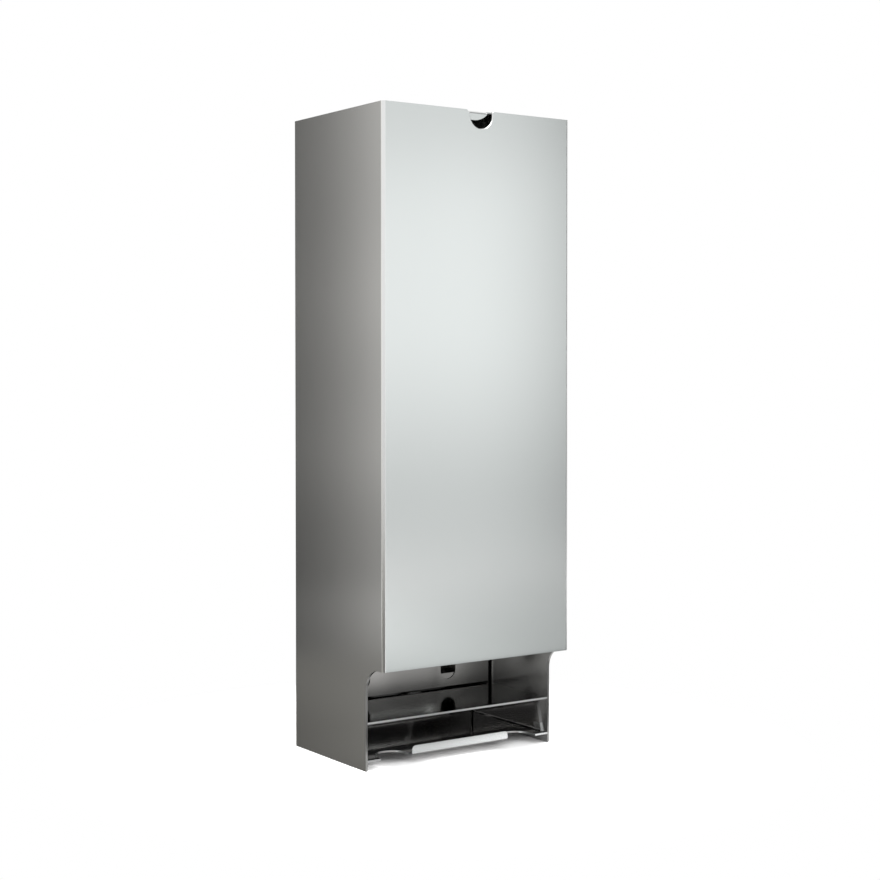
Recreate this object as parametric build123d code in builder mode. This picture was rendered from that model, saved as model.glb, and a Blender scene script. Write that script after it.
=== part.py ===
from build123d import *
import os

os.makedirs("parts", exist_ok=True)

# Tampon and pad dispenser: a tall box of folded stainless steel sheet, open at its lower front.
# A divider splits it into a deep column for pads in front and two narrow columns for tampons
# behind. Pads land on a shelf in the mouth, and tampons roll out on a tray under the shelf.
# A lid hinged at the back closes the top, and a thumb notch in the front panel lets it be lifted.
# X runs to the right, Y from the front to the wall and Z up. The origin is on the surface that
# the box stands on, below the middle of its footprint. All sizes are in millimetres.

# Box
box_width = 150.0
box_depth = 110.5
box_height = 427.0
casing_sheet = 1.5
casing_bend = 2.2  # outer radius of the two folded front corners

# Mouth at the lower front
mouth_top = 67.0
mouth_setback = 20.9  # how far the side walls step back below the front panel
mouth_corner_radius = 15.0
foot_corner_radius = 1.2  # of the side walls' lower front corners

# Thumb notch in the top edge of the front panel
thumb_notch_radius = 9.0
thumb_notch_depth = 11.7
thumb_notch_shift = 1.4  # from the middle of the panel to the right
thumb_notch_left_flare = 2.0
thumb_notch_right_flare = 0.4
thumb_notch_bevel = 0.5  # along its front edge, for the thumb

# Sheet of all inner pieces, with the outer radius of their folds
inner_sheet = 1.2
inner_bend = 2.2

# Divider between the pad column and the tampon columns
tampon_column_depth = 20.8  # clear depth behind the divider
divider_drop = 19.0  # from the top of the box to the divider's upper edge
divider_flange = 9.0
divider_gap = 1.3  # height of the divider's lower edge above the shelf
slot_spacing = 72.0
slot_width = 12.8
slot_height = 45.0
slot_rise = 6.5  # from the shelf to the lowest point of a slot

# Partition between the two tampon columns
partition_flange = 11.0
partition_gap = 0.4  # from the partition to the back panel

# Pad shelf
shelf_top = 31.4
shelf_inset = 0.9  # how far its front edge stays behind the edges of the side walls

# Tampon tray
tray_top = 7.1
tray_side_foot = 5.5  # from the tray's front edge to the foot of its upright sides
tray_side_set = 9.3  # the same, at the top of the sides
tray_rear_flange = 12.0
lip_height = 5.2  # above the tray's floor
lip_bend = 1.8
lip_corner_radius = 2.6
scoop_radius = 12.0
scoop_straight = 5.3
scoop_corner_radius = 0.6
front_edge_length = 10.5  # of the floor's front edge, from a side wall to a scoop

# Back panel, with two keyholes and two screw holes
back_flange = 12.0
keyhole_drop = 49.0  # from the top of the box to the middle of the keyholes' heads
keyhole_head_radius = 5.5
keyhole_rise = 10.0
screw_height = 52.0
screw_hole_radius = 2.75

# Lid
lid_gap = 0.5  # clearance to the side walls
lid_front_gap = 1.5  # clearance to the front panel
lid_flange = 8.0
lid_bend = 1.8
lid_hinge_gap = 1.3  # from the hinge's axis to the lid's rear edge
tab_radius = 15.5
tab_drop = 6.1  # from the top of the lid to the tab's lowest point
tab_shift = 2.5  # from the middle of the lid to the left

# Rests on the side walls, under the lid's flanges
rest_length = 50.0
rest_setback = 14.0  # from the front panel's inner face
rest_ledge = 6.0
rest_leg = 10.0
rest_gap = 0.3  # clearance under the lid

# Piano hinge
hinge_inset = 13.5  # from the side walls to the ends of the hinge
hinge_leaf = 13.0
leaf_sheet = 0.9
pin_radius = 1.0
pin_clearance = 0.05
pin_head_radius = 1.6
pin_head_length = 0.8
knuckle_count = 5
knuckle_gap = 0.4
knuckle_clearance = 0.4  # round a knuckle where it passes the other leaf
knuckle_drop = 1.6  # from the hinge's axis down to the top of the back panel
roll_angle = 285.0

# Cuts run this far past the sheet that they go through.
overrun = 5.0

# Planes and levels that several pieces share
front_face = -box_depth / 2
back_face = box_depth / 2
wall_inner = box_width / 2 - casing_sheet
front_inner = front_face + casing_sheet
panel_inner = back_face - inner_sheet
flange_middle = wall_inner - inner_sheet / 2
divider_back = panel_inner - tampon_column_depth
divider_front = divider_back - inner_sheet
divider_top = box_height - divider_drop
mouth_edge = front_face + mouth_setback
shelf_bottom = shelf_top - inner_sheet
tray_bottom = tray_top - inner_sheet
lip_length = 2 * (wall_inner - front_edge_length - 2 * scoop_radius)
lid_under = box_height - inner_sheet
knuckle_radius = pin_radius + pin_clearance + leaf_sheet
hinge_y = panel_inner - knuckle_radius
hinge_z = lid_under - knuckle_radius
hinge_length = 2 * (wall_inner - hinge_inset)
fold_radius = inner_bend - inner_sheet / 2  # of a fold's middle line

# Casing: front panel and side walls folded from one sheet
with BuildPart() as casing:
    wall_middle = box_width / 2 - casing_sheet / 2
    front_middle = front_face + casing_sheet / 2
    with BuildSketch(Plane.XY):
        with BuildLine():
            FilletPolyline(
                (-wall_middle, back_face),
                (-wall_middle, front_middle),
                (wall_middle, front_middle),
                (wall_middle, back_face),
                radius=casing_bend - casing_sheet / 2,
            )
        trace(line_width=casing_sheet)
    extrude(amount=box_height)
    # The mouth steps the side walls back, with a rounded inner corner.
    with BuildSketch(Plane.YZ) as mouth_cut:
        with Locations((front_face - overrun, -overrun)):
            Rectangle(mouth_setback + overrun, mouth_top + overrun, align=(Align.MIN, Align.MIN))
        inner_corner = mouth_cut.vertices().group_by(Axis.X)[-1].sort_by(Axis.Y)[-1]
        fillet(inner_corner, radius=mouth_corner_radius)
    extrude(amount=box_width / 2 + overrun, both=True, mode=Mode.SUBTRACT)
    foot_edges = casing.edges().filter_by(Axis.X).group_by(Axis.Z)[0]
    fillet(foot_edges.group_by(Axis.Y)[0], radius=foot_corner_radius)
    # The thumb notch is a half round with cut-off corners and a bevelled front edge, and stands a
    # little to the right of the panel's middle.
    notch_centre = box_height - thumb_notch_depth + thumb_notch_radius
    with BuildSketch(Plane.XZ.offset(-front_middle)):
        with Locations((thumb_notch_shift, notch_centre)):
            Circle(thumb_notch_radius)
            Rectangle(2 * thumb_notch_radius, thumb_notch_depth, align=(Align.CENTER, Align.MIN))
    extrude(amount=casing_sheet, both=True, mode=Mode.SUBTRACT)
    top_edges = casing.edges().filter_by(Axis.Y).group_by(Axis.Z)[-1]
    notch_corners = top_edges.sort_by(lambda edge: abs(edge.center().X))[:2].sort_by(Axis.X)
    chamfer(notch_corners[0], length=thumb_notch_left_flare)
    chamfer(notch_corners[1], length=thumb_notch_right_flare)
    front_edges = casing.faces().sort_by(Axis.Y)[0].edges().filter_by_position(
        Axis.Z, box_height - thumb_notch_depth, box_height, inclusive=(True, False)
    )
    chamfer(front_edges.filter_by_position(Axis.X, -box_width / 4, box_width / 4), length=thumb_notch_bevel)

# Back panel, with side flanges that stand inside the side walls
with BuildPart() as back_panel:
    panel_middle = back_face - inner_sheet / 2
    back_panel_top = hinge_z - knuckle_drop
    with BuildSketch(Plane.XY):
        with BuildLine():
            FilletPolyline(
                (-flange_middle, back_face - back_flange),
                (-flange_middle, panel_middle),
                (flange_middle, panel_middle),
                (flange_middle, back_face - back_flange),
                radius=fold_radius,
            )
        trace(line_width=inner_sheet)
    extrude(amount=back_panel_top)
    # The flanges stop above the tray's sides and below the lid's flanges.
    with BuildSketch(Plane.YZ):
        with Locations((back_face - inner_bend, 0)):
            Rectangle(back_flange, shelf_top, align=(Align.MAX, Align.MIN))
        with Locations((back_face - inner_bend, divider_top)):
            Rectangle(back_flange, box_height - divider_top, align=(Align.MAX, Align.MIN))
    extrude(amount=wall_inner, both=True, mode=Mode.SUBTRACT)
    # Two keyholes hang it on screws, and two plain holes lie behind the divider's slots.
    keyhole_middle = box_height - keyhole_drop
    with BuildSketch(Plane.XZ.offset(-panel_middle)):
        with GridLocations(slot_spacing, 0, 2, 1):
            with Locations((0, keyhole_middle)):
                Circle(keyhole_head_radius)
                Rectangle(2 * screw_hole_radius, keyhole_rise, align=(Align.CENTER, Align.MIN))
            with Locations((0, keyhole_middle + keyhole_rise), (0, screw_height)):
                Circle(screw_hole_radius)
    extrude(amount=inner_sheet, both=True, mode=Mode.SUBTRACT)

# Divider, with flanges folded back against the side walls
with BuildPart() as divider:
    divider_middle = divider_front + inner_sheet / 2
    with BuildSketch(Plane.XY.offset(shelf_top)):
        with BuildLine():
            FilletPolyline(
                (-flange_middle, divider_front + divider_flange),
                (-flange_middle, divider_middle),
                (flange_middle, divider_middle),
                (flange_middle, divider_front + divider_flange),
                radius=fold_radius,
            )
        trace(line_width=inner_sheet)
    extrude(amount=divider_top - shelf_top)
    # Between its flanges the sheet stops just above the shelf. A screwdriver reaches the back
    # panel's lower holes through the two slots.
    with BuildSketch(Plane.XZ.offset(-divider_middle)):
        with Locations((0, shelf_top)):
            Rectangle(2 * (wall_inner - inner_bend), divider_gap, align=(Align.CENTER, Align.MIN))
        with Locations((0, shelf_top + slot_rise + slot_height / 2)):
            with GridLocations(slot_spacing, 0, 2, 1):
                SlotOverall(slot_height, slot_width, rotation=90)
    extrude(amount=inner_sheet, both=True, mode=Mode.SUBTRACT)

# Partition: an angle on the divider's back that keeps the two tampon columns apart
with BuildPart() as column_partition:
    partition_bottom = shelf_top + divider_gap
    with BuildSketch(Plane.XY.offset(partition_bottom)):
        with BuildLine():
            FilletPolyline(
                (partition_flange, divider_back + inner_sheet / 2),
                (0, divider_back + inner_sheet / 2),
                (0, panel_inner - partition_gap),
                radius=fold_radius,
            )
        trace(line_width=inner_sheet)
    extrude(amount=divider_top - partition_bottom)

# Pad shelf: a plate from the mouth to the divider's back
with BuildPart() as pad_shelf:
    shelf_front = mouth_edge + shelf_inset
    with BuildSketch(Plane.XY.offset(shelf_bottom)):
        with Locations((0, shelf_front)):
            Rectangle(2 * wall_inner, divider_back - shelf_front, align=(Align.CENTER, Align.MIN))
    extrude(amount=inner_sheet)

# Tampon tray: a floor with upright sides, a rear flange, an upturned lip and two finger scoops
with BuildPart() as tampon_tray:
    floor_middle = tray_top - inner_sheet / 2
    floor_front = mouth_edge + lip_bend
    floor_back = panel_inner - inner_bend
    # Floor and sides, which carry the shelf on their upper edges
    with BuildSketch(Plane.XZ.offset(-floor_back)):
        with BuildLine():
            FilletPolyline(
                (-flange_middle, shelf_bottom),
                (-flange_middle, floor_middle),
                (flange_middle, floor_middle),
                (flange_middle, shelf_bottom),
                radius=fold_radius,
            )
        trace(line_width=inner_sheet)
    extrude(amount=floor_back - floor_front)
    # The sides curve back from their foot to the shelf.
    side_foot = mouth_edge + tray_side_foot
    side_set = mouth_edge + tray_side_set
    with BuildSketch(Plane.YZ):
        with BuildLine():
            TangentArc((side_set, shelf_bottom), (side_foot, tray_top), tangent=(0, -1))
            Polyline(
                (side_foot, tray_top),
                (mouth_edge, tray_top),
                (mouth_edge, shelf_bottom),
                (side_set, shelf_bottom),
            )
        make_face()
    extrude(amount=wall_inner, both=True, mode=Mode.SUBTRACT)
    # Rear flange against the back panel
    rear_middle = panel_inner - inner_sheet / 2
    with BuildSketch(Plane.YZ):
        with BuildLine():
            FilletPolyline(
                (floor_back - inner_bend, floor_middle),
                (rear_middle, floor_middle),
                (rear_middle, tray_top + tray_rear_flange),
                radius=fold_radius,
            )
        trace(line_width=inner_sheet)
    extrude(amount=wall_inner - inner_bend, both=True)
    # Front edge of the floor, outside the lip
    edge_width = wall_inner - lip_length / 2
    with BuildSketch(Plane.XY.offset(tray_bottom)):
        with GridLocations(lip_length + edge_width, 0, 2, 1):
            with Locations((0, mouth_edge)):
                Rectangle(edge_width, tray_side_foot, align=(Align.CENTER, Align.MIN))
    extrude(amount=inner_sheet)
    # Lip
    lip_middle = mouth_edge + inner_sheet / 2
    with BuildSketch(Plane.YZ):
        with BuildLine():
            FilletPolyline(
                (floor_front + lip_bend, floor_middle),
                (lip_middle, floor_middle),
                (lip_middle, tray_top + lip_height),
                radius=lip_bend - inner_sheet / 2,
            )
        trace(line_width=inner_sheet)
    extrude(amount=lip_length / 2, both=True)
    scoop_middle = lip_length / 2 + scoop_radius
    middle_edges = tampon_tray.edges().filter_by_position(Axis.X, -scoop_middle, scoop_middle)
    lip_corners = middle_edges.filter_by_position(Axis.Y, mouth_edge, floor_front).filter_by(Axis.Y)
    fillet(lip_corners.group_by(Axis.Z)[-1], radius=lip_corner_radius)
    # Finger scoops, one on each side of the lip
    with BuildSketch(Plane.XY.offset(tray_bottom)):
        with GridLocations(2 * scoop_middle, 0, 2, 1):
            with Locations((0, mouth_edge + scoop_straight)):
                Circle(scoop_radius)
                Rectangle(2 * scoop_radius, scoop_straight + overrun, align=(Align.CENTER, Align.MAX))
    extrude(amount=inner_sheet, mode=Mode.SUBTRACT)
    front_edges = tampon_tray.edges().filter_by(Axis.Z).group_by(Axis.Y)[0]
    fillet(front_edges.group_by(Axis.X)[1] + front_edges.group_by(Axis.X)[-2], radius=scoop_corner_radius)

# Lid: a plate with side flanges and an arc-shaped tab that hangs behind the thumb notch
with BuildPart() as lid:
    lid_side = wall_inner - lid_gap - inner_sheet / 2
    lid_middle = box_height - inner_sheet / 2
    lid_front = front_inner + lid_front_gap
    lid_rear = hinge_y - lid_hinge_gap
    with BuildSketch(Plane.XZ.offset(-lid_rear)):
        with BuildLine():
            FilletPolyline(
                (-lid_side, lid_under - lid_flange),
                (-lid_side, lid_middle),
                (lid_side, lid_middle),
                (lid_side, lid_under - lid_flange),
                radius=lid_bend - inner_sheet / 2,
            )
        trace(line_width=inner_sheet)
    extrude(amount=lid_rear - lid_front)
    # The tab is bent down from the plate's front edge, and is as wide as its arc is at the bend.
    tab_straight = tab_drop - lid_bend
    tab_half = (tab_straight * (2 * tab_radius - tab_straight)) ** 0.5
    with BuildSketch(Plane.XY.offset(lid_under)):
        with Locations((-tab_shift, lid_front)):
            Rectangle(2 * tab_half, lid_bend, align=(Align.CENTER, Align.MIN))
    extrude(amount=inner_sheet, mode=Mode.SUBTRACT)
    tab_middle = lid_front + inner_sheet / 2
    with BuildSketch(Plane.YZ.offset(-tab_shift)):
        with BuildLine():
            FilletPolyline(
                (lid_front + 2 * lid_bend, lid_middle),
                (tab_middle, lid_middle),
                (tab_middle, box_height - tab_drop),
                radius=lid_bend - inner_sheet / 2,
            )
        trace(line_width=inner_sheet)
    extrude(amount=tab_half, both=True)
    with BuildSketch(Plane.XZ.offset(-tab_middle)):
        with Locations((-tab_shift, box_height - tab_drop)):
            Rectangle(2 * tab_half, tab_straight, align=(Align.CENTER, Align.MIN))
        with Locations((-tab_shift, box_height - tab_drop + tab_radius)):
            Circle(tab_radius, mode=Mode.SUBTRACT)
    extrude(amount=inner_sheet, both=True, mode=Mode.SUBTRACT)

# Rests: two angles on the side walls that stop the lid's flanges
with BuildPart() as right_lid_rest:
    rest_middle = lid_under - lid_flange - rest_gap - inner_sheet / 2
    rest_back = front_inner + rest_setback + rest_length
    with BuildSketch(Plane.XZ.offset(-rest_back)):
        with BuildLine():
            FilletPolyline(
                (flange_middle, rest_middle - rest_leg),
                (flange_middle, rest_middle),
                (wall_inner - rest_ledge, rest_middle),
                radius=fold_radius,
            )
        trace(line_width=inner_sheet)
    extrude(amount=rest_length)

with BuildPart() as left_lid_rest:
    mirror(right_lid_rest.part, about=Plane.YZ)

# Hinge leaves: the free edge of each leaf is rolled into knuckles round the pin, and cut away
# where the knuckles of the other leaf turn.
knuckle_pitch = hinge_length / knuckle_count
knuckle_places = [(index - (knuckle_count - 1) / 2) * knuckle_pitch for index in range(knuckle_count)]
back_knuckles = knuckle_places[0::2]
lid_knuckles = knuckle_places[1::2]
roll_radius = knuckle_radius - leaf_sheet / 2

with BuildPart() as hinge_back_leaf:
    with BuildSketch(Plane.YZ):
        with BuildLine():
            Line((hinge_y + roll_radius, hinge_z - hinge_leaf), (hinge_y + roll_radius, hinge_z))
            CenterArc((hinge_y, hinge_z), roll_radius, 0, roll_angle)
        trace(line_width=leaf_sheet)
    extrude(amount=hinge_length / 2, both=True)
    with BuildSketch(*[Plane.YZ.offset(place) for place in lid_knuckles]):
        with Locations((hinge_y, hinge_z)):
            Circle(knuckle_radius + knuckle_clearance)
    extrude(amount=(knuckle_pitch + knuckle_gap) / 2, both=True, mode=Mode.SUBTRACT)

with BuildPart() as hinge_lid_leaf:
    with BuildSketch(Plane.YZ):
        with BuildLine():
            Line((hinge_y - hinge_leaf, hinge_z + roll_radius), (hinge_y, hinge_z + roll_radius))
            CenterArc((hinge_y, hinge_z), roll_radius, 90, -roll_angle)
        trace(line_width=leaf_sheet)
    extrude(amount=hinge_length / 2, both=True)
    with BuildSketch(*[Plane.YZ.offset(place) for place in back_knuckles]):
        with Locations((hinge_y, hinge_z)):
            Circle(knuckle_radius + knuckle_clearance)
    extrude(amount=(knuckle_pitch + knuckle_gap) / 2, both=True, mode=Mode.SUBTRACT)

# Hinge pin, headed over at both ends
with BuildPart() as hinge_pin:
    with BuildSketch(Plane.YZ.offset(-hinge_length / 2)):
        with Locations((hinge_y, hinge_z)):
            Circle(pin_radius)
    extrude(amount=hinge_length)
    with BuildSketch(
        Plane.YZ.offset(-hinge_length / 2 - pin_head_length), Plane.YZ.offset(hinge_length / 2)
    ):
        with Locations((hinge_y, hinge_z)):
            Circle(pin_head_radius)
    extrude(amount=pin_head_length)

pieces = {
    "casing": casing,
    "back_panel": back_panel,
    "divider": divider,
    "column_partition": column_partition,
    "pad_shelf": pad_shelf,
    "tampon_tray": tampon_tray,
    "lid": lid,
    "left_lid_rest": left_lid_rest,
    "right_lid_rest": right_lid_rest,
    "hinge_back_leaf": hinge_back_leaf,
    "hinge_lid_leaf": hinge_lid_leaf,
    "hinge_pin": hinge_pin,
}
for name, piece in pieces.items():
    piece.part.label = name
    export_step(piece.part, f"parts/{name}.step")
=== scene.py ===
import math

import bpy
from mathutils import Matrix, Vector


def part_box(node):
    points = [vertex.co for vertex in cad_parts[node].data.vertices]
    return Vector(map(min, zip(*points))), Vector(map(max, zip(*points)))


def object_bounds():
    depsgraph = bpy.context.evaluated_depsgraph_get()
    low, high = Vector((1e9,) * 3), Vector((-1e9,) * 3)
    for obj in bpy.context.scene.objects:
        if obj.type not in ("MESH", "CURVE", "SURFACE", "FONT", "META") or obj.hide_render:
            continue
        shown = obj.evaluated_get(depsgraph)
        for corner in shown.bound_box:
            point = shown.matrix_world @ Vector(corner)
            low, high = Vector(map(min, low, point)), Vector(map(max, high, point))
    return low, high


bl_info = {
    "name": "Tampon and pad dispenser",
    "version": (1, 0, 0),
    "blender": (4, 5, 0),
    "location": "3D View > Sidebar > Dispenser",
    "description": "Finishes a folded steel dispenser in satin and bright steel and sets a studio round it",
    "category": "Object",
}

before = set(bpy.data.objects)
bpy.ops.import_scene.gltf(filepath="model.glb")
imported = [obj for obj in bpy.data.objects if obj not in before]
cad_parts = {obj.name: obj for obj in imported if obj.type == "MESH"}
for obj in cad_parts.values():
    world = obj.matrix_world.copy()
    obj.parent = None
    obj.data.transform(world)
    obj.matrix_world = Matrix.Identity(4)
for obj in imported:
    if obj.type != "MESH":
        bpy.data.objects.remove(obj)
cad_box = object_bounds()

MM = 0.001


def box_in_mm(node):
    """A node's lowest and highest corners, in millimetres."""
    return [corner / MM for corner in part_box(node)]


CASING_LOW, CASING_HIGH = box_in_mm("casing")
DIVIDER_LOW, DIVIDER_HIGH = box_in_mm("divider")
LID_LOW, LID_HIGH = box_in_mm("lid")
TRAY_LOW = box_in_mm("tampon_tray")[0]
BACK_HIGH = box_in_mm("back_panel")[1]

# Where the steel has another look than the rest of its sheet, in millimetres: its bare edges, and
# the places where shade is painted into its colour

# How far in from the casing's outside the mask of its sheet reaches, and that of its folds
SHEET_REACH, FOLD_REACH = 2.2, 2.3
# The painted shade at the seam starts and is full at these distances in front of the divider.
# It lies on what is further in from the casing's outside than the inset, which is the wall's
# inner face.
SEAM_SHADE_START, SEAM_SHADE_FULL = 3.2, 1.0
SEAM_SHADE_INSET = 1.0
# The painted shade of the lid's bend lies between these depths under its top, and this near its front
BEND_START, BEND_END = 0.85, 1.75
BEND_REACH = 2.0
# The back panel's painted shade, which shows in the gap, lies between these depths under the
# divider's foot. The strip lies on what is further in from the panel's outside than the inset,
# which is its inner face.
GAP_START, GAP_END = 2.7, 5.4
GAP_INSET = 0.6
# How far back and up from the tray's foremost and lowest point its rims reach
RIM_DEPTH, RIM_HEIGHT = 14.0, 6.5
# The tray's floor lies between these heights above its lowest point. Its painted shade is full as
# far right as the first X and ends at the second. On the front edge the painted shade has this
# length and depth from the tray's left end and front, and is this share as strong.
TRAY_FLOOR_START, TRAY_FLOOR_END = 0.6, 4.0
CORNER_FULL, CORNER_END = -40.0, 10.0
CORNER_EDGE_LENGTH, CORNER_EDGE_DEPTH = 12.5, 1.0
CORNER_EDGE_SHARE = 0.7

# Tones of the painted shade at the places above
SEAM_PAINTED_SHADE_TONE, BEND_PAINTED_SHADE_TONE, GAP_PAINTED_SHADE_TONE, CORNER_PAINTED_SHADE_TONE = 0.05, 0.45, 0.03, 0.34

# The least part of the surface normal along an axis where a face looks along that axis, and the
# most where the face stands across it
LOOKS_ALONG, STANDS_ACROSS = 0.7, 0.5
FRONT_LOOKS_ALONG, FLOOR_LOOKS_ALONG, FOLD_STANDS_ACROSS = 0.6, 0.9, 0.3

# The stage, in millimetres

# Reach of the floor, and how far it lies under the box
FLOOR_REACH = 6000.0
FLOOR_DROP = 0.1
# The shadow fades out, and the floor is plain white, between these distances from the middle
FADE_START, FADE_END = 180.0, 260.0
# How high the cards on the floor lie
CARD_LIFT = 0.3
# The two cards in front of the mouth: their distance from the casing, the foot of the lower one
# and the height where they meet
MOUTH_CARD_GAP = 16.75
MOUTH_CARD_FOOT, MOUTH_CARD_SPLIT = 3.0, 21.3
# The hood card's height, its distance from the casing and how far it passes it on the left
HOOD_CARD_HEIGHT = 66.6
HOOD_CARD_GAP, HOOD_CARD_OVERHANG = 0.75, 5.0
# The slot card's distance behind the divider, its drop below the divider's foot and its half width
SLOT_CARD_GAP, SLOT_CARD_DROP, SLOT_CARD_REACH = 0.95, 2.0, 70.0
# Width of the camera's sensor
SENSOR_WIDTH = 36.0
# What the camera sees starts and ends this far away
CAMERA_NEAR, CAMERA_FAR = 50.0, 50000.0
# What the lamp is aimed at
LAMP_AIM = (0.0, 0.0, 200.0)


# Node trees

# The Mix node's colour sockets, which share their names with its other kinds of socket
MIX_FACTOR, MIX_LOW, MIX_HIGH, MIX_RESULT = 0, 6, 7, 2


class Value:
    """A number that varies over a surface. Arithmetic on it adds Math nodes to its recipe."""

    def __init__(self, recipe, socket):
        self.recipe = recipe
        self.socket = socket

    def math(self, operation, *others, clamp=False):
        settings = {"operation": operation, "use_clamp": clamp}
        return self.recipe.value("ShaderNodeMath", "Value", settings, dict(enumerate((self, *others))))

    def __add__(self, other):
        return self.math("ADD", other)

    def __mul__(self, other):
        return self.math("MULTIPLY", other)

    def __sub__(self, other):
        return self.math("SUBTRACT", other)

    def __rsub__(self, other):
        return self * -1.0 + other

    def __gt__(self, other):
        return self.math("GREATER_THAN", other)

    def __lt__(self, other):
        return self.math("LESS_THAN", other)

    def __abs__(self):
        return self.math("ABSOLUTE")

    __radd__ = __add__
    __rmul__ = __mul__

    def clamped(self):
        return self.math("ADD", 0.0, clamp=True)

    def larger(self, other):
        return self.math("MAXIMUM", other)

    def smooth(self, low, high):
        """0 below low and 1 above high, with a soft step between them."""
        settings = {"interpolation_type": "SMOOTHSTEP"}
        inputs = {"Value": self, "From Min": low, "From Max": high}
        return self.recipe.value("ShaderNodeMapRange", "Result", settings, inputs)


class Recipe:
    """A material's or world's node tree, with one method that adds any node."""

    def __init__(self, tree):
        self.tree = tree
        tree.nodes.clear()

    def add(self, kind, settings=None, inputs=None):
        """Adds a node: first its settings, then the values or links of its sockets.

        A ramp's setting named stops holds pairs of a place and a tone.
        """
        node = self.tree.nodes.new(kind)
        for name, value in (settings or {}).items():
            if name == "stops":
                ramp = node.color_ramp
                while len(ramp.elements) < len(value):
                    ramp.elements.new(1.0)
                for element, (place, tone) in zip(ramp.elements, value):
                    element.position = place
                    element.color = colour(tone)
            else:
                setattr(node, name, value)
        for name, value in (inputs or {}).items():
            socket = node.inputs[name]
            if isinstance(value, Value):
                self.tree.links.new(value.socket, socket)
            elif isinstance(value, bpy.types.NodeSocket):
                self.tree.links.new(value, socket)
            else:
                socket.default_value = value
        return node

    def value(self, kind, output, settings=None, inputs=None):
        """Adds a node and gives one of its outputs as a Value."""
        return Value(self, self.add(kind, settings, inputs).outputs[output])

    def parts(self, vector):
        """A vector's three parts, as Values."""
        split = self.add("ShaderNodeSeparateXYZ", None, {"Vector": vector})
        return [Value(self, split.outputs[axis]) for axis in "XYZ"]

    def place(self):
        """The piece's own coordinates, as three Values in millimetres."""
        point = self.add("ShaderNodeTexCoord").outputs["Object"]
        return [part * (1 / MM) for part in self.parts(point)]

    def facing(self):
        """The size of the surface normal's three parts, in the piece's own axes."""
        normal = self.add("ShaderNodeTexCoord").outputs["Normal"]
        return [abs(part) for part in self.parts(normal)]

    def noise(self, scale, stretch, detail, roughness):
        """Noise from 0 to 1 on the piece's own coordinates. A stretch under 1 draws it out."""
        point = self.add("ShaderNodeTexCoord").outputs["Object"]
        mapped = self.add("ShaderNodeMapping", None, {"Vector": point, "Scale": stretch}).outputs["Vector"]
        inputs = {"Vector": mapped, "Scale": scale, "Detail": detail, "Roughness": roughness}
        return self.value("ShaderNodeTexNoise", "Fac", None, inputs)

    def blend(self, factor, low, high, kind="MIX"):
        """A colour between two, or with kind MULTIPLY their product. Each is a tone or a socket."""
        settings = {"data_type": "RGBA", "blend_type": kind}
        inputs = {MIX_FACTOR: factor, MIX_LOW: colour(low), MIX_HIGH: colour(high)}
        return self.add("ShaderNodeMix", settings, inputs).outputs[MIX_RESULT]

    def mix_shaders(self, factor, first, second):
        """The first shader where the factor is 0, and the second where it is 1."""
        inputs = dict(enumerate((factor, first, second)))
        return self.add("ShaderNodeMixShader", None, inputs).outputs["Shader"]

    def grey(self, value):
        """A grey whose level is a Value."""
        return self.add("ShaderNodeCombineXYZ", None, dict.fromkeys("XYZ", value)).outputs["Vector"]


def colour(tone):
    """An RGBA colour from a grey level or from three numbers. A socket stays as it is."""
    if isinstance(tone, bpy.types.NodeSocket):
        return tone
    if isinstance(tone, (int, float)):
        return (tone, tone, tone, 1.0)
    return (*tone[:3], 1.0)


def new_material(name):
    material = bpy.data.materials.new(name)
    material.use_nodes = True
    return material, Recipe(material.node_tree)


def dress(nodes, material):
    """Gives each of these CAD nodes the material in every one of its slots."""
    for name in nodes:
        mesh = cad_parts[name].data
        if not mesh.materials:
            mesh.materials.append(material)
        for index in range(len(mesh.materials)):
            mesh.materials[index] = material


# Steel finishes

# The mean of a noise
NOISE_MEAN = 0.5
# The coarse grain's share of the grain, and the fine grain's scale over the coarse grain's
COARSE_SHARE = 0.6
FINE_SCALE = 3.1
# The clouds are longer upwards, and change the roughness by this share of what the grain does
CLOUD_STRETCH = (1.0, 1.0, 0.6)
CLOUD_ROUGHNESS_SHARE = 0.5
# Height of the grain's relief, in millimetres
GRAIN_RELIEF = 0.02


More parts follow.
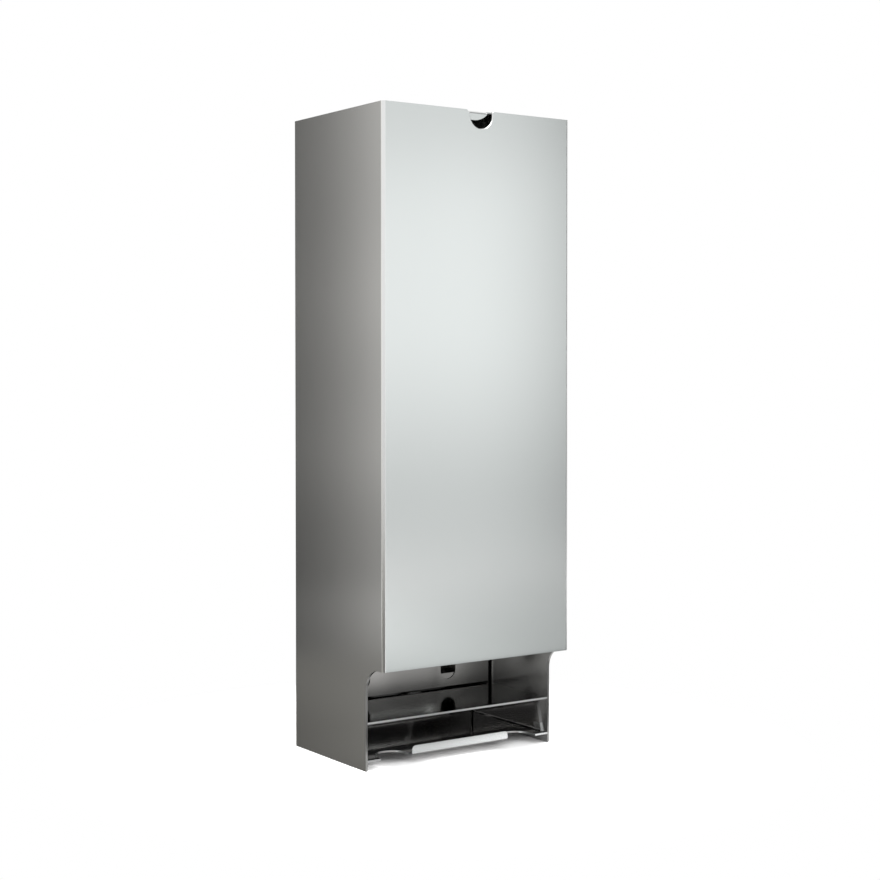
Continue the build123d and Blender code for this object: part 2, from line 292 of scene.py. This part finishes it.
def steel(name, finish, cut_edge=None, shaded=None, shaded_tone=None):
    """Metal with a drawn grain along Z or X, clouds of tone and shine, and its own cut edges.

    finish is a property group of sizes and tones. cut_edge and shaded are functions of the recipe
    that give masks of the sheet's bare cut edges and of a place with painted shade, which has the
    shaded tone.
    """
    material, recipe = new_material(name)
    along, across = finish.grain_stretch, 1.0
    stretch = (across, across, along) if finish.grain_axis == "Z" else (along, across, across)
    coarse = recipe.noise(finish.grain_scale, stretch, detail=3.0, roughness=0.6)
    fine = recipe.noise(finish.grain_scale * FINE_SCALE, stretch, detail=2.0, roughness=0.7)
    clouds = recipe.noise(finish.cloud_scale, CLOUD_STRETCH, detail=2.0, roughness=0.5)
    grain = coarse * COARSE_SHARE + fine * (1 - COARSE_SHARE)
    grain_swing, cloud_swing = grain - NOISE_MEAN, clouds - NOISE_MEAN
    tone = grain_swing * finish.grain_contrast + cloud_swing * finish.cloud_contrast + NOISE_MEAN
    shade = recipe.blend(tone.clamped(), finish.dark_tone, finish.pale_tone)
    rough = finish.roughness + grain_swing * finish.roughness_spread
    rough = rough + cloud_swing * (finish.roughness_spread * CLOUD_ROUGHNESS_SHARE)
    if cut_edge:
        edge = cut_edge(recipe)
        shade = recipe.blend(edge, shade, finish.edge_tone)
        rough = rough * (1 - edge) + edge * finish.edge_roughness
    # Painted shade: where the shaded mask is, the colour turns to the shaded tone
    if shaded:
        shade = recipe.blend(shaded(recipe), shade, shaded_tone)
    relief = {"Strength": finish.grain_depth, "Distance": GRAIN_RELIEF * MM, "Height": grain}
    bump = recipe.add("ShaderNodeBump", None, relief).outputs["Normal"]
    surface = {"Base Color": shade, "Metallic": 1.0, "Roughness": rough.clamped(), "Normal": bump}
    shader = recipe.add("ShaderNodeBsdfPrincipled", None, surface).outputs["BSDF"]
    recipe.add("ShaderNodeOutputMaterial", None, {"Surface": shader})
    return material


def casing_edges(recipe):
    """Bare edges of the casing: where neither a panel's face nor a fold is."""
    x, y, _ = recipe.place()
    nx, ny, nz = recipe.facing()
    side = abs(x)
    wall = (nx > LOOKS_ALONG) * (side > CASING_HIGH.x - SHEET_REACH)
    front = (ny > FRONT_LOOKS_ALONG) * (y < CASING_LOW.y + SHEET_REACH)
    beside, before = side > CASING_HIGH.x - FOLD_REACH, y < CASING_LOW.y + FOLD_REACH
    fold = (nz < FOLD_STANDS_ACROSS) * beside * before
    return (1 - wall.larger(front).larger(fold)).clamped()


def level_edges(recipe):
    """Bare edges of a level plate: all that doesn't face up or down."""
    nz = recipe.facing()[2]
    return nz < STANDS_ACROSS


def upright_edges(recipe):
    """Bare upper and lower edges of an upright sheet."""
    nz = recipe.facing()[2]
    return nz > LOOKS_ALONG


def casing_seam_painted_shade(recipe):
    """Painted shade down each side wall's inner face, where the divider meets it."""
    x, y, z = recipe.place()
    inner = abs(x) < CASING_HIGH.x - SEAM_SHADE_INSET
    beside = y.smooth(DIVIDER_LOW.y - SEAM_SHADE_START, DIVIDER_LOW.y - SEAM_SHADE_FULL) * (y < DIVIDER_HIGH.y)
    return inner * beside * (z < DIVIDER_HIGH.z)


def lid_bend_painted_shade(recipe):
    """Painted shade: a darker line along the bend between the lid's top and its tab."""
    _, y, z = recipe.place()
    depth = LID_HIGH.z - z
    return (depth > BEND_START) * (depth < BEND_END) * (y < LID_LOW.y + BEND_REACH)


def back_gap_painted_shade(recipe):
    """Painted shade on the strip of the back panel's inner face that shows between the shelf and the
    divider.
    """
    _, y, z = recipe.place()
    strip = (z > DIVIDER_LOW.z - GAP_END) * (z < DIVIDER_LOW.z - GAP_START)
    return strip * (y < BACK_HIGH.y - GAP_INSET)


def tray_corner_painted_shade(recipe):
    """Painted shade on the left end of the tray's floor, and of its front edge."""
    x, y, z = recipe.place()
    nz = recipe.facing()[2]
    level = (z > TRAY_LOW.z + TRAY_FLOOR_START) * (z < TRAY_LOW.z + TRAY_FLOOR_END)
    floor = (nz > FLOOR_LOOKS_ALONG) * level
    corner = (x < TRAY_LOW.x + CORNER_EDGE_LENGTH) * (y < TRAY_LOW.y + CORNER_EDGE_DEPTH)
    edge = corner * (nz < STANDS_ACROSS)
    return ((1 - x.smooth(CORNER_FULL, CORNER_END)) * floor).larger(edge * CORNER_EDGE_SHARE)


def tray_rims(recipe):
    """The tray's lip, its front edges and the rims of its scoops, not the floor or the sides."""
    _, y, z = recipe.place()
    nz = recipe.facing()[2]
    return (nz < STANDS_ACROSS) * (y < TRAY_LOW.y + RIM_DEPTH) * (z < TRAY_LOW.z + RIM_HEIGHT)


def tone_property(name, description, default):
    return bpy.props.FloatVectorProperty(
        name=name, description=description, subtype="COLOR", size=3, min=0.0, max=1.0, default=default
    )


def share_property(name, description, default, high=1.0):
    return bpy.props.FloatProperty(
        name=name, description=description, subtype="FACTOR", min=0.0, max=high, default=default
    )


def scale_property(name, description, default):
    return bpy.props.FloatProperty(name=name, description=description, min=0.001, default=default)


def grain_property(default):
    return bpy.props.EnumProperty(
        name="Grain axis", description="Direction that the sheet was brushed in",
        items=[("Z", "Z", "Along the height"), ("X", "X", "Along the width")], default=default,
    )


class SteelSheet:
    """Look of a steel sheet. Each finish below has these values, and changes some."""

    dark_tone: tone_property("Dark tone", "Colour in the grain's hollows", (0.755, 0.76, 0.755))
    pale_tone: tone_property("Pale tone", "Colour on the grain's ridges", (0.80, 0.805, 0.80))
    edge_tone: tone_property("Edge tone", "Colour of bare cut edges", (0.43, 0.43, 0.42))
    roughness: share_property("Roughness", "Mean roughness", 0.2)
    roughness_spread: share_property("Roughness spread", "How far roughness follows the grain", 0.04)
    edge_roughness: share_property("Edge roughness", "Roughness of cut edges", 0.3)
    grain_axis: grain_property("Z")
    grain_scale: scale_property("Grain scale", "Grain lines per metre, roughly", 900.0)
    grain_stretch: scale_property("Grain stretch", "Grain's scale along its direction", 0.03)
    grain_contrast: share_property("Grain contrast", "How far the tone follows the grain", 0.5, 2.0)
    grain_depth: share_property("Grain depth", "Strength of the grain's relief", 0.25)
    cloud_scale: scale_property("Cloud scale", "Clouds of tone per metre, roughly", 14.0)
    cloud_contrast: share_property("Cloud contrast", "How far the tone follows the clouds", 0.35, 2.0)


class SatinSteel(SteelSheet, bpy.types.PropertyGroup):
    """Fine satin, brushed along the height: the casing and the lid."""


class BrightSteel(SteelSheet, bpy.types.PropertyGroup):
    """Nearly a mirror: the pad shelf."""

    edge_tone: tone_property("Edge tone", "Colour of bare cut edges", (0.86, 0.86, 0.86))
    roughness: share_property("Roughness", "Mean roughness", 0.08)
    roughness_spread: share_property("Roughness spread", "How far roughness follows the grain", 0.03)
    edge_roughness: share_property("Edge roughness", "Roughness of cut edges", 0.55)
    grain_axis: grain_property("X")
    grain_contrast: share_property("Grain contrast", "How far the tone follows the grain", 0.25, 2.0)
    grain_depth: share_property("Grain depth", "Strength of the grain's relief", 0.08)


class TraySteel(SteelSheet, bpy.types.PropertyGroup):
    """The tampon tray: bright at its rims, and greyer inside, which is painted shade."""

    # Painted shade: these tones are greyer than the rims' edge tone, as the shade inside the tray
    dark_tone: tone_property("Dark tone", "Colour in the grain's hollows", (0.47, 0.465, 0.46))
    pale_tone: tone_property("Pale tone", "Colour on the grain's ridges", (0.55, 0.545, 0.54))
    edge_tone: tone_property("Edge tone", "Colour of the lip and of the front edges", (0.93, 0.95, 0.945))
    roughness: share_property("Roughness", "Mean roughness", 0.045)
    edge_roughness: share_property("Edge roughness", "Roughness of the lip and the edges", 0.22)
    grain_axis: grain_property("X")
    grain_depth: share_property("Grain depth", "Strength of the grain's relief", 0.12)


class MillSteel(SteelSheet, bpy.types.PropertyGroup):
    """Warm grey mill finish: the divider, its partition and the lid's rests."""

    dark_tone: tone_property("Dark tone", "Colour in the grain's hollows", (0.50, 0.49, 0.475))
    pale_tone: tone_property("Pale tone", "Colour on the grain's ridges", (0.60, 0.59, 0.575))
    roughness: share_property("Roughness", "Mean roughness", 0.11)
    grain_scale: scale_property("Grain scale", "Grain lines per metre, roughly", 1100.0)
    grain_stretch: scale_property("Grain stretch", "Grain's scale along its direction", 0.3)
    grain_contrast: share_property("Grain contrast", "How far the tone follows the grain", 1.5, 2.0)
    cloud_scale: scale_property("Cloud scale", "Clouds of tone per metre, roughly", 40.0)
    cloud_contrast: share_property("Cloud contrast", "How far the tone follows the clouds", 0.7, 2.0)


class PaintedShadeSteel(SteelSheet, bpy.types.PropertyGroup):
    """Darker steel, whose darkness is painted shade of the box's inside: the back panel."""

    # Painted shade: these tones are darker than the other sheets', as the shade inside the box
    dark_tone: tone_property("Dark tone", "Colour in the grain's hollows", (0.32, 0.316, 0.305))
    pale_tone: tone_property("Pale tone", "Colour on the grain's ridges", (0.40, 0.395, 0.385))
    roughness: share_property("Roughness", "Mean roughness", 0.05)
    cloud_scale: scale_property("Cloud scale", "Clouds of tone per metre, roughly", 30.0)


class DrawnSteel(SteelSheet, bpy.types.PropertyGroup):
    """Plain drawn steel: the hinge."""

    roughness: share_property("Roughness", "Mean roughness", 0.28)
    grain_axis: grain_property("X")


class Studio(bpy.types.PropertyGroup):
    """Camera, floor and light."""

    camera_place: bpy.props.FloatVectorProperty(
        name="Camera", description="Where the camera stands", subtype="TRANSLATION", unit="LENGTH", size=3,
        default=(-0.6385, -0.9306, 0.2607),
    )
    camera_heading: bpy.props.FloatProperty(
        name="Heading", description="How far the camera looks to the right of the wall", subtype="ANGLE",
        unit="ROTATION", default=math.radians(34.74),
    )
    camera_pitch: bpy.props.FloatProperty(
        name="Pitch", description="How far the camera looks down", subtype="ANGLE", unit="ROTATION",
        default=math.radians(1.33),
    )
    camera_shift: bpy.props.FloatProperty(
        name="Shift", description="How far the view is moved up, as a share of its width", default=-0.0405
    )
    lens: bpy.props.FloatProperty(
        name="Lens", description="Focal length on a sensor 36 mm wide", unit="CAMERA", min=1.0, default=67.78
    )
    floor_tone: bpy.props.FloatProperty(
        name="Floor tone", description="Grey level of the floor", subtype="FACTOR", min=0.0, max=1.0,
        default=0.9,
    )
    floor_gain: bpy.props.FloatProperty(
        name="Floor gain", description="How bright the floor is drawn near the box", min=0.0, default=2.0
    )
    fill: bpy.props.FloatProperty(
        name="Fill", description="Light from all round", min=0.0, default=0.8
    )
    lamp_place: bpy.props.FloatVectorProperty(
        name="Lamp", description="Where the lamp hangs", subtype="TRANSLATION", unit="LENGTH", size=3,
        default=(-0.3, -0.4, 1.6),
    )
    lamp_size: bpy.props.FloatProperty(
        name="Lamp size", description="Side of the square lamp", unit="LENGTH", min=0.0, default=1.2
    )
    lamp_power: bpy.props.FloatProperty(
        name="Lamp power", description="Light of the lamp", unit="POWER", min=0.0, default=12.0
    )


class PieceOperator:
    """Shared settings of the operators here."""

    bl_options = {"REGISTER", "UNDO"}


class DISPENSER_OT_casing(PieceOperator, bpy.types.Operator):
    """Finish the casing and the lid in fine satin steel"""

    bl_idname = "dispenser.casing"
    bl_label = "Casing and lid"

    def execute(self, context):
        finish = context.scene.dispenser_satin
        # The casing's walls get painted shade where the divider meets them, and the lid along its bend
        dress(["casing"], steel("satin_steel_casing", finish, casing_edges, casing_seam_painted_shade, SEAM_PAINTED_SHADE_TONE))
        dress(["lid"], steel("satin_steel_lid", finish, None, lid_bend_painted_shade, BEND_PAINTED_SHADE_TONE))
        return {"FINISHED"}


class DISPENSER_OT_pad_shelf(PieceOperator, bpy.types.Operator):
    """Finish the pad shelf in bright steel"""

    bl_idname = "dispenser.pad_shelf"
    bl_label = "Pad shelf"

    def execute(self, context):
        dress(["pad_shelf"], steel("bright_steel", context.scene.dispenser_bright, level_edges))
        return {"FINISHED"}


class DISPENSER_OT_tampon_tray(PieceOperator, bpy.types.Operator):
    """Finish the tampon tray, bright at its lip and edges"""

    bl_idname = "dispenser.tampon_tray"
    bl_label = "Tampon tray"

    def execute(self, context):
        finish = context.scene.dispenser_tray
        # The tray's left corner gets painted shade
        dress(["tampon_tray"], steel("tray_steel", finish, tray_rims, tray_corner_painted_shade, CORNER_PAINTED_SHADE_TONE))
        return {"FINISHED"}


class DISPENSER_OT_inner_sheets(PieceOperator, bpy.types.Operator):
    """Finish the divider, its partition and the lid's rests in mill steel, and the back panel in darker
    steel, which is painted shade
    """

    bl_idname = "dispenser.inner_sheets"
    bl_label = "Inner sheets"

    def execute(self, context):
        mill = steel("mill_steel", context.scene.dispenser_mill, upright_edges)
        dress(["divider", "column_partition", "left_lid_rest", "right_lid_rest"], mill)
        # The back panel gets a strip of painted shade where it shows between the shelf and the divider
        back_panel_steel = steel("back_steel_painted_shade", context.scene.dispenser_dull, None, back_gap_painted_shade, GAP_PAINTED_SHADE_TONE)
        dress(["back_panel"], back_panel_steel)
        return {"FINISHED"}


class DISPENSER_OT_hinge(PieceOperator, bpy.types.Operator):
    """Finish the hinge's leaves and pin in plain drawn steel"""

    bl_idname = "dispenser.hinge"
    bl_label = "Hinge"

    def execute(self, context):
        drawn = steel("drawn_steel", context.scene.dispenser_drawn)
        dress(["hinge_back_leaf", "hinge_lid_leaf", "hinge_pin"], drawn)
        return {"FINISHED"}


# Floor and cards


def quad(name, corner, across, up, material):
    """A face for the stage. It spans the vectors across and up from its corner, in millimetres."""
    origin, right, rise = (Vector(vector) * MM for vector in (corner, across, up))
    mesh = bpy.data.meshes.new(name)
    corners = (origin, origin + right, origin + right + rise, origin + rise)
    mesh.from_pydata([tuple(point) for point in corners], [], [(0, 1, 2, 3)])
    mesh.materials.append(material)
    made = bpy.data.objects.new(name, mesh)
    bpy.context.scene.collection.objects.link(made)
    return made


# Where the floor's shadow is paler or darker than the lamp makes it: centre, reach along X and Y
# in millimetres, and the factor at the centre
SHADOW_PATCHES = (
    (0.0, -23.0, 46.0, 18.0, 1.9),
    (46.0, -12.0, 20.0, 14.0, 0.62),
    (-42.0, -12.0, 18.0, 15.0, 0.6),
    (-68.0, -30.0, 16.0, 14.0, 1.7),
)


def floor_paint(studio):
    """White all round, and near the box a pale paint that takes the object's shadow."""
    material, recipe = new_material("floor")
    ray = recipe.add("ShaderNodeLightPath")
    seen = Value(recipe, ray.outputs["Is Camera Ray"])
    x, y, _ = recipe.place()
    away = (x * x + y * y).math("SQRT").smooth(FADE_START, FADE_END)
    gain = studio.floor_gain
    for place_x, place_y, reach_x, reach_y, change in SHADOW_PATCHES:
        off_x, off_y = (x - place_x) * (1 / reach_x), (y - place_y) * (1 / reach_y)
        inside = 1 - (off_x * off_x + off_y * off_y).smooth(0.0, 1.0)
        gain = gain * (inside * (change - 1) + 1)
    paint_tone = recipe.grey((1 - seen) * studio.floor_tone + seen * gain)
    paint = recipe.add("ShaderNodeBsdfDiffuse", None, {"Color": paint_tone}).outputs["BSDF"]
    white = recipe.add("ShaderNodeEmission", None, {"Color": colour(1.0), "Strength": 1.0})
    both = recipe.mix_shaders(seen * away, paint, white.outputs["Emission"])
    recipe.add("ShaderNodeOutputMaterial", None, {"Surface": both})
    return material


# The studio's cards. Places and sizes are in millimetres. A stop of a row of tones is a share of
# the way along the card, and the tone there.
CARDS = (
    # In front on the right: what the front panel reflects
    dict(
        name="right_card",
        corner=(223.7, -1128.5, 0.0),
        across=(728.1, 529.0, 0.0),
        up=(0.0, 0.0, 1200.0),
        across_tones=[
            (0.0, 1.05), (0.15, 1.02), (0.3, 0.92), (0.4, 0.89), (0.5, 1.04), (0.6, 0.86), (0.7, 0.21),
            (0.85, 0.02),
        ],
        up_tones=[
            (0.0, 0.83), (0.08, 0.7), (0.16, 0.96), (0.24, 1.15), (0.32, 1.14), (0.4, 1.13), (0.5, 0.76),
            (0.6, 1.04), (0.75, 1.1),
        ],
        tint=(0.975, 1.015, 1.01),
    ),
    # Behind on the left: what the left wall reflects
    dict(
        name="left_card",
        corner=(-581.9, 160.0, 0.0),
        across=(598.2, 363.7, 0.0),
        up=(0.0, 0.0, 1000.0),
        across_tones=[
            (0.0, 0.95), (0.214, 0.79), (0.357, 0.76), (0.429, 0.41), (0.5, 0.17), (0.571, 0.09),
            (0.643, 0.03), (0.8, 0.35), (1.0, 0.7),
        ],
        up_tones=[
            (0.0, 0.75), (0.01, 0.8), (0.03, 0.97), (0.052, 1.06), (0.07, 0.74), (0.095, 0.8), (0.12, 0.8),
            (0.18, 1.14), (0.25, 1.13), (0.32, 1.33), (0.4, 1.2), (0.5, 1.27), (0.6, 1.4),
        ],
        tint=(1.015, 1.0, 0.965),
    ),
    # On the floor in front: what the front panel's foot reflects
    dict(
        name="front_floor_card",
        corner=(0.0, -700.0, CARD_LIFT),
        across=(600.0, 0.0, 0.0),
        up=(0.0, 620.0, 0.0),
        across_tones=[
            (0.0, 1.05), (0.15, 1.09), (0.23, 1.13), (0.32, 1.2), (0.4, 1.15), (0.5, 0.74), (0.75, 0.64),
            (1.0, 0.02),
        ],
        up_tones=[
            (0.0, 0.92), (0.1, 0.94), (0.2, 0.97), (0.32, 0.88), (0.5, 0.63), (0.65, 0.53), (0.75, 0.42),
            (1.0, 0.02),
        ],
        tint=(0.995, 1.045, 1.035),
    ),
    # On the floor on the left: what the lower left wall reflects
    dict(
        name="left_floor_card",
        corner=(-1875.0, -150.0, CARD_LIFT),
        across=(1800.0, 0.0, 0.0),
        up=(0.0, 800.0, 0.0),
        across_tones=[
            (0.0, 2.5), (0.345, 2.4), (0.557, 1.47), (0.708, 0.84), (0.844, 1.42), (0.884, 1.42),
            (0.922, 1.25), (0.971, 0.74), (1.0, 0.5),
        ],
        up_tones=[
            (0.0, 0.3), (0.18, 0.31), (0.3, 0.21), (0.4, 0.168), (0.6, 0.11), (0.8, 0.475), (1.0, 0.95),
        ],
        tint=(1.03, 1.0, 0.93),
    ),
    # In front of the mouth: what the shelf, the divider and the walls inside it reflect
    dict(
        name="mouth_card",
        corner=(-70.0, CASING_LOW.y - MOUTH_CARD_GAP, MOUTH_CARD_SPLIT),
        across=(190.0, 0.0, 0.0),
        up=(0.0, 0.0, 41.7),
        across_tones=[
            (0.0, 0.78), (0.14, 0.9), (0.24, 0.47), (0.29, 0.31), (0.34, 0.14), (0.42, 0.38), (0.48, 0.58),
            (0.53, 1.25), (0.6, 1.26), (0.68, 0.89), (0.86, 0.83), (0.9, 0.45), (1.0, 0.33),
        ],
        up_tones=[
            (0.0, 0.485), (0.07, 0.485), (0.42, 0.585), (0.5, 0.48), (0.6, 0.38), (0.68, 0.215),
            (0.79, 0.11), (1.0, 0.073),
        ],
    ),
    # Under that one: what the inside of the tray reflects
    dict(
        name="tray_card",
        corner=(-100.0, CASING_LOW.y - MOUTH_CARD_GAP, MOUTH_CARD_FOOT),
        across=(220.0, 0.0, 0.0),
        up=(0.0, 0.0, MOUTH_CARD_SPLIT - MOUTH_CARD_FOOT),
        across_tones=[
            (0.0, 0.9), (0.052, 0.9), (0.062, 0.1), (0.36, 0.08), (0.47, 0.03), (0.55, 0.01), (1.0, 0.01),
        ],
        up_tones=[(0.0, 1.4), (0.2, 1.0), (1.0, 1.0)],
    ),
    # Level, in front of the mouth's top: it faces down, and the shelf reflects it
    dict(
        name="hood_card",
        corner=(CASING_LOW.x - HOOD_CARD_OVERHANG, CASING_LOW.y - HOOD_CARD_GAP, HOOD_CARD_HEIGHT),
        across=(220.0, 0.0, 0.0),
        up=(0.0, -100.0, 0.0),
        across_tones=[
            (0.0, 0.19), (0.16, 0.126), (0.24, 0.065), (0.33, 0.034), (0.41, 0.05), (0.5, 0.083),
            (0.57, 0.113), (0.65, 0.08), (0.76, 0.06), (0.84, 0.042), (1.0, 0.042),
        ],
        up_tones=[(0.0, 1.0), (1.0, 1.0)],
        one_sided=True,
    ),
    # Behind the divider: the light that comes in under the shelf, as the back panel's foot shows
    # it through the slots
    dict(
        name="slot_card",
        corner=(SLOT_CARD_REACH, DIVIDER_HIGH.y + SLOT_CARD_GAP, DIVIDER_LOW.z - SLOT_CARD_DROP),
        across=(-2 * SLOT_CARD_REACH, 0.0, 0.0),
        up=(0.0, 0.0, 5.0),
        across_tones=[(0.0, 0.5), (1.0, 0.5)],
        up_tones=[(0.0, 0.9), (1.0, 1.0)],
        one_sided=True,
    ),
    # On the floor under the lip: the lip's gradient
    dict(
        name="lip_card",
        corner=(-40.0, -80.0, CARD_LIFT),
        across=(118.0, 0.0, 0.0),
        up=(0.0, 35.0, 0.0),
        across_tones=[(0.0, 0.62), (0.25, 0.72), (0.63, 0.98), (1.0, 1.2)],
        up_tones=[(0.0, 1.0), (1.0, 0.9)],
    ),
    # On the floor, in front on the left: what the foot of the fold reflects
    dict(
        name="corner_floor_card",
        corner=(-1500.0, -1500.0, CARD_LIFT),
        across=(1400.0, 0.0, 0.0),
        up=(0.0, 1350.0, 0.0),
        across_tones=[(0.0, 1.3), (0.32, 1.1), (0.54, 0.75), (0.7, 0.6), (0.86, 0.5), (1.0, 0.4)],
        up_tones=[(0.0, 0.9), (0.27, 0.7), (0.53, 0.48), (0.72, 0.33), (0.87, 0.24), (1.0, 0.19)],
        tint=(1.03, 1.0, 0.93),
    ),
)


def card(name, corner, across, up, across_tones, up_tones, tint=1.0, one_sided=False):
    """A studio card that only shows in reflections.

    It spans the vectors across and up from its corner, and its brightness is the product of two
    rows of tones that run along them. A one-sided card isn't seen from behind.
    """
    material, recipe = new_material(name)
    point = recipe.add("ShaderNodeTexCoord").outputs["UV"]
    glow = tint
    for part, stops in zip(recipe.parts(point), (across_tones, up_tones)):
        ramp = recipe.add("ShaderNodeValToRGB", {"stops": stops}, {"Fac": part})
        glow = recipe.blend(1.0, glow, ramp.outputs["Color"], "MULTIPLY")
    shown = recipe.add("ShaderNodeEmission", None, {"Color": glow, "Strength": 1.0}).outputs["Emission"]
    if one_sided:
        behind = recipe.add("ShaderNodeNewGeometry").outputs["Backfacing"]
        clear = recipe.add("ShaderNodeBsdfTransparent").outputs["BSDF"]
        shown = recipe.mix_shaders(behind, shown, clear)
    recipe.add("ShaderNodeOutputMaterial", None, {"Surface": shown})
    made = quad(name, corner, across, up, material)
    layer = made.data.uv_layers.new(name="card")
    for loop, place in zip(layer.data, ((0, 0), (1, 0), (1, 1), (0, 1))):
        loop.uv = place
    made.visible_camera = False
    made.visible_diffuse = False
    made.visible_shadow = False


class DISPENSER_OT_stage(PieceOperator, bpy.types.Operator):
    """Set the camera, the white floor, the cards and the lamp"""

    bl_idname = "dispenser.stage"
    bl_label = "Studio"

    def execute(self, context):
        scene = context.scene
        studio = scene.dispenser_studio
        self.camera(scene, studio)
        self.world(scene, studio)
        self.floor(studio)
        for settings in CARDS:
            card(**settings)
        self.lamp(scene, studio)
        scene.view_settings.view_transform = "Standard"
        return {"FINISHED"}

    def camera(self, scene, studio):
        data = bpy.data.cameras.new("camera")
        data.sensor_width = SENSOR_WIDTH
        data.lens = studio.lens
        data.shift_y = studio.camera_shift
        data.clip_start = CAMERA_NEAR * MM
        data.clip_end = CAMERA_FAR * MM
        camera = bpy.data.objects.new("camera", data)
        scene.collection.objects.link(camera)
        camera.location = studio.camera_place
        camera.rotation_euler = (math.radians(90) - studio.camera_pitch, 0.0, -studio.camera_heading)
        scene.camera = camera

    def world(self, scene, studio):
        """White where the camera, metal or glass shows it, and a plain fill light otherwise."""
        world = bpy.data.worlds.new("studio")
        world.use_nodes = True
        scene.world = world
        recipe = Recipe(world.node_tree)
        ray = recipe.add("ShaderNodeLightPath")
        seen = Value(recipe, ray.outputs["Is Camera Ray"])
        for kind in ("Is Glossy Ray", "Is Transmission Ray"):
            seen = seen.larger(Value(recipe, ray.outputs[kind]))
        tone = recipe.blend(seen, studio.fill, 1.0)
        glow = recipe.add("ShaderNodeBackground", None, {"Color": tone, "Strength": 1.0})
        recipe.add("ShaderNodeOutputWorld", None, {"Surface": glow.outputs["Background"]})

    def floor(self, studio):
        corner, across = (-FLOOR_REACH, -FLOOR_REACH, 0.0), (2 * FLOOR_REACH, 0.0, 0.0)
        made = quad("floor", corner, across, (0.0, 2 * FLOOR_REACH, 0.0), floor_paint(studio))
        made.location.z = cad_box[0].z - FLOOR_DROP * MM

    def lamp(self, scene, studio):
        data = bpy.data.lights.new("top_lamp", "AREA")
        data.shape = "SQUARE"
        data.size = studio.lamp_size
        data.energy = studio.lamp_power
        lamp = bpy.data.objects.new("top_lamp", data)
        scene.collection.objects.link(lamp)
        lamp.location = studio.lamp_place
        lamp.rotation_mode = "QUATERNION"
        aim = Vector(LAMP_AIM) * MM - Vector(studio.lamp_place)
        lamp.rotation_quaternion = aim.to_track_quat("-Z", "Y")


OPERATORS = (
    DISPENSER_OT_casing,
    DISPENSER_OT_pad_shelf,
    DISPENSER_OT_tampon_tray,
    DISPENSER_OT_inner_sheets,
    DISPENSER_OT_hinge,
    DISPENSER_OT_stage,
)


class DISPENSER_PT_panel(bpy.types.Panel):
    """Lists the dispenser's pieces"""

    bl_idname = "DISPENSER_PT_panel"
    bl_label = "Dispenser"
    bl_space_type = "VIEW_3D"
    bl_region_type = "UI"
    bl_category = "Dispenser"

    def draw(self, context):
        """The operators, and two values that change the whole picture."""
        for operator in OPERATORS:
            self.layout.operator(operator.bl_idname)
        self.layout.prop(context.scene.dispenser_satin, "roughness")
        self.layout.prop(context.scene.dispenser_studio, "fill")


FINISHES = {
    "dispenser_satin": SatinSteel,
    "dispenser_bright": BrightSteel,
    "dispenser_tray": TraySteel,
    "dispenser_mill": MillSteel,
    "dispenser_dull": PaintedShadeSteel,
    "dispenser_drawn": DrawnSteel,
}
CLASSES = (*FINISHES.values(), Studio, *OPERATORS, DISPENSER_PT_panel)


def register():
    for made in CLASSES:
        bpy.utils.register_class(made)
    for name, finish in FINISHES.items():
        setattr(bpy.types.Scene, name, bpy.props.PointerProperty(type=finish))
    bpy.types.Scene.dispenser_studio = bpy.props.PointerProperty(type=Studio)


def unregister():
    del bpy.types.Scene.dispenser_studio
    for name in FINISHES:
        delattr(bpy.types.Scene, name)
    for made in reversed(CLASSES):
        bpy.utils.unregister_class(made)


def main():
    register()
    for operator in OPERATORS:
        group, name = operator.bl_idname.split(".")
        getattr(getattr(bpy.ops, group), name)()
    bpy.context.view_layer.update()


if __name__ == "__main__":
    main()
